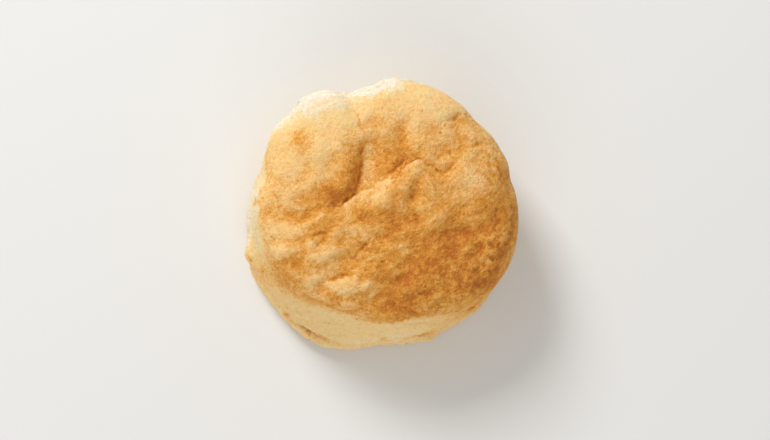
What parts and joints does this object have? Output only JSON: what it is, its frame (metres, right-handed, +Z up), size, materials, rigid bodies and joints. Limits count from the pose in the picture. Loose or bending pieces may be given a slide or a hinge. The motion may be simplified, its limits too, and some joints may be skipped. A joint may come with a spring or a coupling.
{
  "type": "buttermilk biscuit",
  "caption": "Round buttermilk biscuit with a folded golden-brown top, a leaning wall of pale flaky layers and a flat base to rest on.",
  "frame": {"origin": "on the resting plane, under the middle of the footprint", "axes": "+Z up from the flat base to the crown; +X to the right and +Y away in a view from above"},
  "size_m": [0.0908, 0.0902, 0.0413],
  "materials": {
    "crust": "matte browned crust, paler on the sides"
  },
  "bodies": {
    "root": {"biscuit": "crust"}
  },
  "joints": []
}
